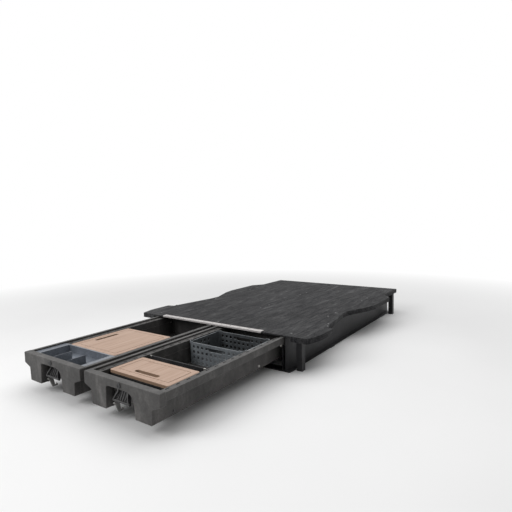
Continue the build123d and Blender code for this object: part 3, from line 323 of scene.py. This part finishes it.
def wood_surface():
    """Pale ply: grain along the van, fine pores, painted shade in the groove, layers along the cut edges,
    and edges lightened as wear and painted highlight.
    """
    s = Shader("lid_ply", specular=0.35, coat=0.05)
    pale, mid, dark = (0.455, 0.318, 0.242), (0.385, 0.255, 0.185), (0.235, 0.138, 0.092)
    groove_shade, sunned, edge_wear_and_highlight = (0.200, 0.110, 0.065), (0.475, 0.340, 0.262), (0.600, 0.460, 0.370)
    warp = s.noise(3.0, 3.0, 0.5, s.stretch((1.0, 0.25, 1.0)))
    grain = s.noise(26.0, 8.0, 0.66, s.stretch((1.0, 0.06, 1.0)), 0.9)
    rings = s.bands(9.0, "X", s.stretch((1.0, 0.09, 1.0)), 9.0, 4.0, 1.4)
    top = s.ramp(grain, (0.30, dark), (0.47, mid), (0.66, pale))
    top = s.mix(0.42, top, s.ramp(rings, (0.15, mid), (0.80, pale)))
    top = s.mix(s.ramp(warp, (0.3, 0.0), (0.75, 0.35)), top, sunned)
    pores = s.noise(240.0, 3.0, 0.7, s.stretch((1.0, 0.10, 1.0)))
    top = s.mix(s.ramp(pores, (0.62, 0.0), (0.74, 0.30)), top, dark)
    # Painted shade in the groove, darker the deeper it goes
    below = s.math("SUBTRACT", ledge_top - groove_start, s.axis("Z"))
    depth = s.math("MULTIPLY", below, 1 / groove_depth)
    top = s.mix(s.ramp(depth, (0.20, 0.0), (0.60, 0.75)), top, groove_shade)
    layers = s.bands(58.0, "Z", None, 0.6, 3.0, 6.0)
    edge = s.ramp(layers, (0.30, (0.200, 0.118, 0.075)), (0.62, (0.410, 0.280, 0.195)))
    sideways = s.ramp(s.math("ABSOLUTE", s.facing("Z")), (0.35, 1.0), (0.75, 0.0))
    # Edges are lightened, partly as wear and partly as a painted highlight
    worn_and_lit_edges = s.math("MULTIPLY", s.edges(0.005), 0.55)
    s.colour(s.mix(worn_and_lit_edges, s.mix(sideways, top, edge), edge_wear_and_highlight))
    s.rough(grain, 0.62, 0.46)
    s.bump(grain, 0.0003, 0.35)
    s.bump(pores, 0.0003, 0.20)
    return s.mat


def strip_surface():
    """Off-white anodised strip, brushed along its length."""
    s = Shader("strip_anodised", metal=0.35)
    lines = s.noise(30.0, 5.0, 0.6, s.stretch((0.6, 26.0, 26.0)))
    base = s.ramp(lines, (0.3, (0.40, 0.38, 0.375)), (0.7, (0.62, 0.595, 0.585)))
    stain = s.ramp(s.noise(9.0, 5.0), (0.55, 0.0), (0.80, 0.35))
    s.colour(s.mix(stain, base, (0.34, 0.32, 0.315)))
    s.rough(lines, 0.36, 0.50)
    s.bump(lines, 0.0001, 0.3)
    return s.mat


shell = dict(low=(0.036, 0.0345, 0.0335), high=(0.062, 0.059, 0.057), dust_and_highlight=(0.210, 0.204, 0.198),
             rough=(0.46, 0.62))
charcoal = moulded("drawer_shell", **shell, top_dust_and_highlight=0.14)
black_zinc = metal("black_zinc", (0.045, 0.045, 0.046), (0.110, 0.110, 0.110), (0.30, 0.48), metallic=0.8)
dull_zinc = metal("dull_zinc", (0.16, 0.16, 0.155), (0.30, 0.295, 0.285), (0.32, 0.50))
zinc = metal("zinc_plate", (0.34, 0.34, 0.33), (0.55, 0.54, 0.52), (0.28, 0.46))
ink = painted("scale_ink", (0.020, 0.020, 0.022), (0.040, 0.040, 0.042))
band_tint = painted("scale_band", (0.110, 0.092, 0.084), (0.180, 0.155, 0.145), (0.4, 0.6))
# Near-black painted shade for the inside of the slots
painted_slot_shade = painted("slot_shade", (0.004, 0.004, 0.004), (0.010, 0.010, 0.010), (0.6, 0.8))
surfaces = {
    "drawer_plastic": charcoal,
    "box_plastic": moulded("bin_shell", (0.012, 0.012, 0.013), (0.022, 0.022, 0.024), (0.07, 0.07, 0.07),
                           rough=(0.42, 0.58)),
    # The crate gets strong painted shade on the faces inside its box
    "crate_plastic": moulded("crate_shell", (0.120, 0.132, 0.144), (0.168, 0.184, 0.198),
                             (0.44, 0.46, 0.48), rough=(0.36, 0.52), grain=1400.0, depth=0.0001,
                             top_dust_and_highlight=0.25, shaded_inside="crate", inside_shade=0.22, mottle=0.35),
    "tray_plastic": moulded("tray_shell", (0.110, 0.124, 0.146), (0.165, 0.182, 0.210),
                            (0.40, 0.42, 0.46), rough=(0.28, 0.44), grain=1500.0, depth=0.0001,
                            top_dust_and_highlight=0.05, rim=0.0025, mottle=0.3),
    "handle_plastic": moulded("handle_shell", (0.014, 0.013, 0.014), (0.026, 0.025, 0.026),
                              (0.100, 0.096, 0.096), rough=(0.38, 0.52), grain=1500.0, depth=0.0001,
                              top_dust_and_highlight=0.15, rim=0.002, mottle=0.4),
    "nylon": moulded("wheel_nylon", (0.50, 0.49, 0.45), (0.62, 0.61, 0.57), (0.30, 0.29, 0.27),
                     rough=(0.38, 0.50), grain=1600.0, depth=0.0001, top_dust_and_highlight=0.10, mottle=0.4),
    "frame_paint": painted("frame_coat", (0.014, 0.014, 0.015), (0.028, 0.028, 0.030)),
    "zinc_steel": zinc,
    "rail_metal": metal("drawn_rail", (0.46, 0.47, 0.48), (0.62, 0.63, 0.65), (0.26, 0.42),
                        brush=(40.0, 0.8, 40.0)),
    "lock_metal": metal("lock_plate", (0.018, 0.018, 0.019), (0.045, 0.045, 0.047), (0.34, 0.48),
                        brush=(30.0, 1.0, 30.0), metallic=0.5),
    "rubber": rubbery("stop_rubber", (0.018, 0.018, 0.018), (0.034, 0.034, 0.034)),
    "deck_plastic": deck_surface(),
    "lid_wood": wood_surface(),
    "strip_metal": strip_surface(),
}
# Nodes whose finish differs from the rest of their slot
finishes = {"deck_bolts": black_zinc}
for hand in ("left", "right"):
    tub = f"{hand}_tub"
    # Each tub gets painted shade on the faces inside its box
    finishes[tub] = moulded(f"{tub}_shell", **shell, top_dust_and_highlight=0.12, shaded_inside=tub)
    finishes[f"{hand}_handle_bracket"] = black_zinc
    for part in ("bracket", "rod", "hook"):
        finishes[f"{hand}_latch_{part}"] = dull_zinc
for entry in frame["record"]["subparts"]:
    name = entry["node"]
    piece = nodes[name]
    piece.data.materials.clear()
    piece.data.materials.append(finishes.get(name, surfaces[entry["material_slot"]]))


# Small pieces that the photograph shows on the drawers and the deck
def shape(name, build, body, slot, *materials):
    """Mesh piece made by a function, with its materials, on a body of the frame."""
    made = bmesh.new()
    build(made)
    bmesh.ops.recalc_face_normals(made, faces=made.faces)
    mesh = bpy.data.meshes.new(name)
    made.to_mesh(mesh)
    made.free()
    piece = bpy.data.objects.new(name, mesh)
    for material in materials:
        mesh.materials.append(material)
    scene.collection.objects.link(piece)
    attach(piece, body)


def loops(made, rings, inner_from=None):
    """Closed skin through rings of points, in the second material from ring inner_from on."""
    rows = [[made.verts.new(point) for point in ring] for ring in rings]
    count = len(rows[0])
    for at, (a, b) in enumerate(zip(rows, rows[1:])):
        for i in range(count):
            face = made.faces.new((a[i], a[(i + 1) % count], b[(i + 1) % count], b[i]))
            face.material_index = 1 if inner_from is not None and at >= inner_from else 0
    made.faces.new(rows[0])
    made.faces.new(rows[-1]).material_index = 1 if inner_from is not None else 0


def stadium(x, y, z, length, width, steps=6):
    """Outline of a slot along Y with round ends, at height z."""
    radius = width / 2
    reach = length / 2 - radius
    points = []
    for end, first in ((1, 0.0), (-1, math.pi)):
        for i in range(steps + 1):
            turn = first + math.pi * i / steps
            points.append((x + radius * math.cos(turn), y + end * reach + radius * math.sin(turn), z))
    return points


def rim_slots(x, places):
    """Row of small slots with a raised edge, with painted shade inside."""
    inner = slot_slope + slot_lip
    steps = ((0.0, 0.0), (slot_slope, slot_rise), (inner, slot_rise), (inner, slot_floor))

    def build(made):
        for y in places:
            loops(made, [
                stadium(x, y, ledge_top + rise, slot_length - less, slot_width - less)
                for less, rise in steps
            ], inner_from=2)
    return build


def side_bolt(x, y, side):
    """Hexagonal head with a bevelled crown on a round washer, facing out of a side wall."""
    def ring(radius, out, sides):
        return [(x + side * out, y + radius * math.cos(math.tau * i / sides),
                 bolt_height + radius * math.sin(math.tau * i / sides)) for i in range(sides)]

    def build(made):
        loops(made, (ring(washer_radius, washer_seat, washer_sides),
                     ring(washer_radius, washer_rim, washer_sides),
                     ring(washer_face_radius, washer_face, washer_sides)))
        loops(made, (ring(head_radius, head_seat, head_sides),
                     ring(head_radius, head_rim, head_sides),
                     ring(head_face_radius, head_face, head_sides)))
    return build


def edge_clip(x, y, z):
    """Bent clip over the top edge of an upright wall, seen along X."""
    half = clip_span / 2
    outer, inner = half + clip_sheet, half + clip_play
    profile = (
        (-outer, -clip_drop), (-outer, 0.0), (-half, clip_sheet), (half, clip_sheet), (outer, 0.0),
        (outer, -clip_drop), (inner, -clip_drop), (inner, clip_play), (-inner, clip_play),
        (-inner, -clip_drop),
    )

    def build(made):
        loops(made, [[(x + side * clip_width / 2, y + v, z + w) for v, w in profile] for side in (-1, 1)])
    return build


def ruler_ticks(made):
    """Upright marks every centimetre, longer at every fifth and tenth."""
    low = strip_low[1] + tick_edge
    for i in range(1, int(strip_length / tick_pitch)):
        x = strip_low[0] + tick_pitch * i
        high = low + (tick_tenth if i % 10 == 0 else tick_fifth if i % 5 == 0 else tick_short)
        corners = ((x - tick_half, low), (x + tick_half, low), (x + tick_half, high), (x - tick_half, high))
        loops(made, [[(u, v, strip_high[2] + rise) for u, v in corners] for rise in (-mark_sink, mark_rise)])


def ruler_numbers(made):
    """Plain numbers in centimetres beside the long marks."""
    for i in range(1, int(strip_length / number_pitch)):
        curve = bpy.data.curves.new("number", "FONT")
        curve.body = str(10 * i)
        curve.size = number_size
        curve.extrude = mark_rise
        curve.align_x = "CENTER"
        word = bpy.data.objects.new("number", curve)
        mesh = bpy.data.meshes.new_from_object(word)
        place = (strip_low[0] + number_pitch * i, strip_low[1] + number_edge, strip_high[2])
        mesh.transform(Matrix.Translation(place))
        made.from_mesh(mesh)
        bpy.data.objects.remove(word)
        bpy.data.curves.remove(curve)
        bpy.data.meshes.remove(mesh)


def ruler_line(made):
    """Low raised band along the strip, behind the numbers and the slots."""
    low, high = strip_low[0] + band_end, strip_high[0] - band_end
    y, top = strip_high[1] - band_edge, strip_high[2]
    ends = ((low, band_end_half), (low + band_taper, band_half),
            (high - band_taper, band_half), (high, band_end_half))
    loops(made, [
        [(x, y - half, top - mark_sink), (x, y + half, top - mark_sink),
         (x, y + half * band_crown, top + band_rise), (x, y - half * band_crown, top + band_rise)]
        for x, half in ends
    ])


shape("ruler_ticks", ruler_ticks, "frame", "strip_metal", ink)
shape("ruler_numbers", ruler_numbers, "frame", "strip_metal", ink)
shape("ruler_line", ruler_line, "frame", "strip_metal", band_tint)
for hand in ("left", "right"):
    tub_low, tub_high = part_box(f"{hand}_tub")
    centre = (tub_low[0] + tub_high[0]) / 2
    body = f"{hand}_drawer"
    tray_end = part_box("parts_tray")[1][1]
    start = tray_end + slot_end_gap if hand == "left" else tub_low[1] + slot_face_gap
    count = int((tub_high[1] - slot_end_gap - start) / slot_pitch)
    places = [start + slot_pitch * i for i in range(count + 1)]
    for side, word in ((-1, "a"), (1, "b")):
        shape(f"{hand}_rim_slots_{word}", rim_slots(centre + side * slot_place, places), body,
              "drawer_plastic", charcoal, painted_slot_shade)
        wall = centre + side * bolt_wall
        shape(f"{hand}_side_bolt_{word}", side_bolt(wall, bolt_rear, side), body, "zinc_steel", zinc)
        shape(f"{hand}_front_bolt_{word}", side_bolt(wall, bolt_front, side), body, "zinc_steel", black_zinc)
for word, x in (("a", divider_low[0] + clip_inset), ("b", divider_high[0] - clip_inset)):
    shape(f"divider_clip_{word}", edge_clip(x, divider_high[1] - clip_setback, divider_high[2]),
          "right_drawer", "zinc_steel", zinc)


# Floor, backdrop and soft studio light
def seen_directly(tree):
    """1 for what the camera sees, also in glossy or clear surfaces, and 0 for the light."""
    path = tree.nodes.new("ShaderNodeLightPath")
    total = path.outputs["Is Camera Ray"]
    for other in ("Is Glossy Ray", "Is Transmission Ray"):
        either = tree.nodes.new("ShaderNodeMath")
        either.operation = "MAXIMUM"
        tree.links.new(total, either.inputs[0])
        tree.links.new(path.outputs[other], either.inputs[1])
        total = either.outputs[0]
    return total


def lamp(name, place, aim, size, power):
    """Soft rectangular lamp that looks at a point."""
    data = bpy.data.lights.new(name, "AREA")
    data.shape = "RECTANGLE"
    data.size, data.size_y = size
    data.energy = power
    made = bpy.data.objects.new(name, data)
    made.location = place
    made.rotation_euler = (Vector(aim) - Vector(place)).to_track_quat("-Z", "Y").to_euler()
    scene.collection.objects.link(made)


white = (1.0, 1.0, 1.0, 1.0)
floor_half = 30.0
fade_from, fade_to, fade_scale = 2.6, 6.0, 0.1
sky_strength = 0.42

# The floor fades to the background's white away from the object
pale = Shader("studio_floor", rough=0.9, specular=0.1)
pale.colour(pale.ramp(pale.noise(0.7, 2.0), (0.3, 0.87), (0.7, 0.90)))
far = pale.add("ShaderNodeVectorMath", operation="LENGTH")
pale.link(pale.coords, far.inputs[0])
fade = pale.ramp(pale.math("MULTIPLY", far.outputs["Value"], fade_scale),
                 (fade_from * fade_scale, 0.0), (fade_to * fade_scale, 1.0))
glow = pale.add("ShaderNodeEmission", Strength=1.0, Color=white)
blend = pale.add("ShaderNodeMixShader")
pale.link(pale.math("MULTIPLY", fade, seen_directly(pale.tree)), blend.inputs[0])
pale.link(pale.bsdf.outputs[0], blend.inputs[1])
pale.link(glow.outputs[0], blend.inputs[2])
pale.link(blend.outputs[0], pale.tree.nodes["Material Output"].inputs["Surface"])
mesh = bpy.data.meshes.new("floor")
mesh.from_pydata([(x * floor_half, y * floor_half, 0) for x, y in ((-1, -1), (1, -1), (1, 1), (-1, 1))],
                 [], [(0, 1, 2, 3)])
floor = bpy.data.objects.new("floor", mesh)
floor.data.materials.append(pale.mat)
scene.collection.objects.link(floor)

world = bpy.data.worlds.new("studio")
world.use_nodes = True
scene.world = world
tree = world.node_tree
sky = tree.nodes["Background"]
shown = tree.nodes.new("ShaderNodeBackground")
for background, strength in ((sky, sky_strength), (shown, 1.0)):
    background.inputs["Color"].default_value = white
    background.inputs["Strength"].default_value = strength
either = tree.nodes.new("ShaderNodeMixShader")
tree.links.new(seen_directly(tree), either.inputs[0])
tree.links.new(sky.outputs[0], either.inputs[1])
tree.links.new(shown.outputs[0], either.inputs[2])
tree.links.new(either.outputs[0], tree.nodes["World Output"].inputs["Surface"])

lamp("key", (-2.5, -6.0, 4.5), (0.0, -0.6, 0.1), (4.0, 3.0), 240.0)
lamp("over", (0.5, 0.5, 5.0), (0.0, 0.3, 0.0), (5.0, 6.0), 150.0)

scene.view_settings.view_transform = "Standard"
